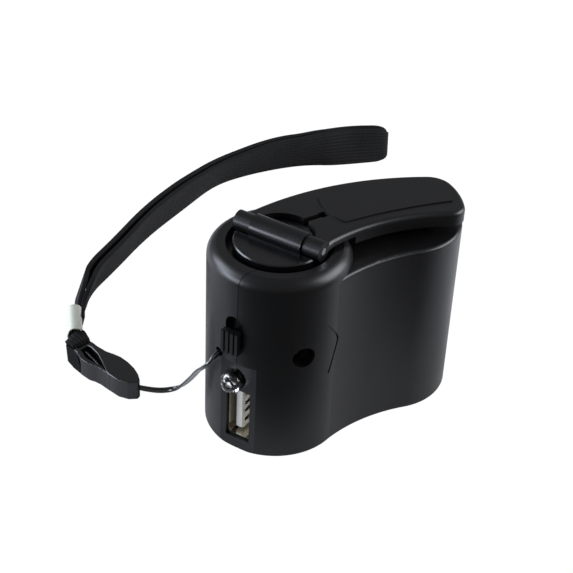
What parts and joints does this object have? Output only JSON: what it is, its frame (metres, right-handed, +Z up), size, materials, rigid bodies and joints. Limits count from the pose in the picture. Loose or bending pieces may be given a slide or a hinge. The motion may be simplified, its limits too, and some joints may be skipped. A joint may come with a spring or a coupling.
{
  "type": "hand crank phone charger",
  "caption": "Pocket generator with a fold-out crank on a round hub, a charging socket, a small light with a slide switch, and a clip-on wrist strap.",
  "frame": {"origin": "on the base, below the axis on which the crank hub turns", "axes": "+Z up along the hub's axis, +X along the body from the hub end to the far end, -Y towards the hollow front side"},
  "size_m": [0.1222, 0.1077, 0.0498],
  "materials": {
    "black_abs": "satin moulded",
    "black_acetal": "semi-gloss moulded",
    "white_acetal": "moulded",
    "white_nylon": "moulded",
    "phenolic": "punched sheet",
    "board_green": "solder mask",
    "sleeve_blue": "shrunk sleeve",
    "black_epoxy": "moulded",
    "wire_red": "extruded",
    "clear_epoxy": "cast clear",
    "steel": "zinc plated",
    "screw_steel": "zinc plated",
    "laminated_steel": "stacked and wound",
    "nickel_plate": "bright nickel",
    "bronze": "sintered",
    "brass": "bright",
    "ferrite": "fired",
    "cell_can": "sleeved",
    "crimp_metal": "rolled",
    "black_webbing": "woven",
    "black_cord": "braided"
  },
  "bodies": {
    "base": {"housing_front": "black_abs", "housing_back": "black_abs", "housing_screw": "screw_steel", "bearing_bush": "bronze", "idler_pins": "steel", "gear_plate_upper": "steel", "gear_plate_lower": "steel", "gearbox_posts": "steel", "gearbox_screws": "screw_steel", "generator_screws": "screw_steel", "generator_can": "steel", "generator_magnets": "ferrite", "generator_end_cap": "white_nylon", "generator_terminals": "brass", "generator_leads": "wire_red", "usb_shell": "nickel_plate", "usb_tongue": "white_nylon", "usb_contacts": "brass", "led_lens": "clear_epoxy", "led_leads": "nickel_plate", "switch_can": "nickel_plate", "switch_base": "phenolic", "switch_pins": "brass", "circuit_board": "board_green", "storage_capacitor": "sleeve_blue", "boost_inductor": "ferrite", "regulator_chip": "black_epoxy", "rectifier_diodes": "black_epoxy", "rechargeable_cell": "cell_can", "cell_strips": "nickel_plate", "clip_prong": "black_acetal", "clip_socket": "black_acetal", "tether_strand_near": "black_cord", "tether_strand_far": "black_cord", "tether_knot": "black_cord", "strap_webbing": "black_webbing", "strap_crimp": "crimp_metal"},
    "hub": {"crank_hub": "black_abs", "drive_shaft": "steel", "drive_gear": "white_acetal"},
    "first_idler": {"first_idler": "white_acetal"},
    "second_idler": {"second_idler": "white_acetal"},
    "rotor": {"generator_rotor": "laminated_steel", "generator_pinion": "brass"},
    "arm": {"crank_arm": "black_abs", "hinge_pin": "steel", "knob_screw": "screw_steel"},
    "knob": {"crank_knob": "black_abs"},
    "switch": {"switch_slider": "black_abs"}
  },
  "joints": [
    {"name": "hub_spin", "type": "hinge", "parent": "base", "child": "hub", "pos_m": [0, 0, 0.0455], "axis": [0, 0, 1], "continuous": true},
    {"name": "crank_fold", "type": "hinge", "parent": "hub", "child": "arm", "pos_m": [0, 0, 0.04712], "axis": [0.4258, -0.9048, 0], "range_deg": [0, 180]},
    {"name": "knob_spin", "type": "hinge", "parent": "arm", "child": "knob", "pos_m": [0.0335, -0.002, 0.0446], "axis": [0, 0, 1], "continuous": true},
    {"name": "first_idler_spin", "type": "hinge", "parent": "base", "child": "first_idler", "pos_m": [0.01398, 0.00147, 0.034], "axis": [0, 0, 1], "continuous": true},
    {"name": "second_idler_spin", "type": "hinge", "parent": "base", "child": "second_idler", "pos_m": [0.02529, 0.00387, 0.032], "axis": [0, 0, 1], "continuous": true},
    {"name": "rotor_spin", "type": "hinge", "parent": "base", "child": "rotor", "pos_m": [0.03168, -0.00103, 0.018], "axis": [0, 0, 1], "continuous": true},
    {"name": "switch_slide", "type": "slide", "parent": "base", "child": "switch", "axis": [0, 0, 1], "range_m": [0, 0.002]}
  ],
  "couplings": [
    {"joint": "first_idler_spin", "follows": "hub_spin", "ratio": -4.6},
    {"joint": "second_idler_spin", "follows": "hub_spin", "ratio": 16.56},
    {"joint": "rotor_spin", "follows": "hub_spin", "ratio": -49.68}
  ]
}
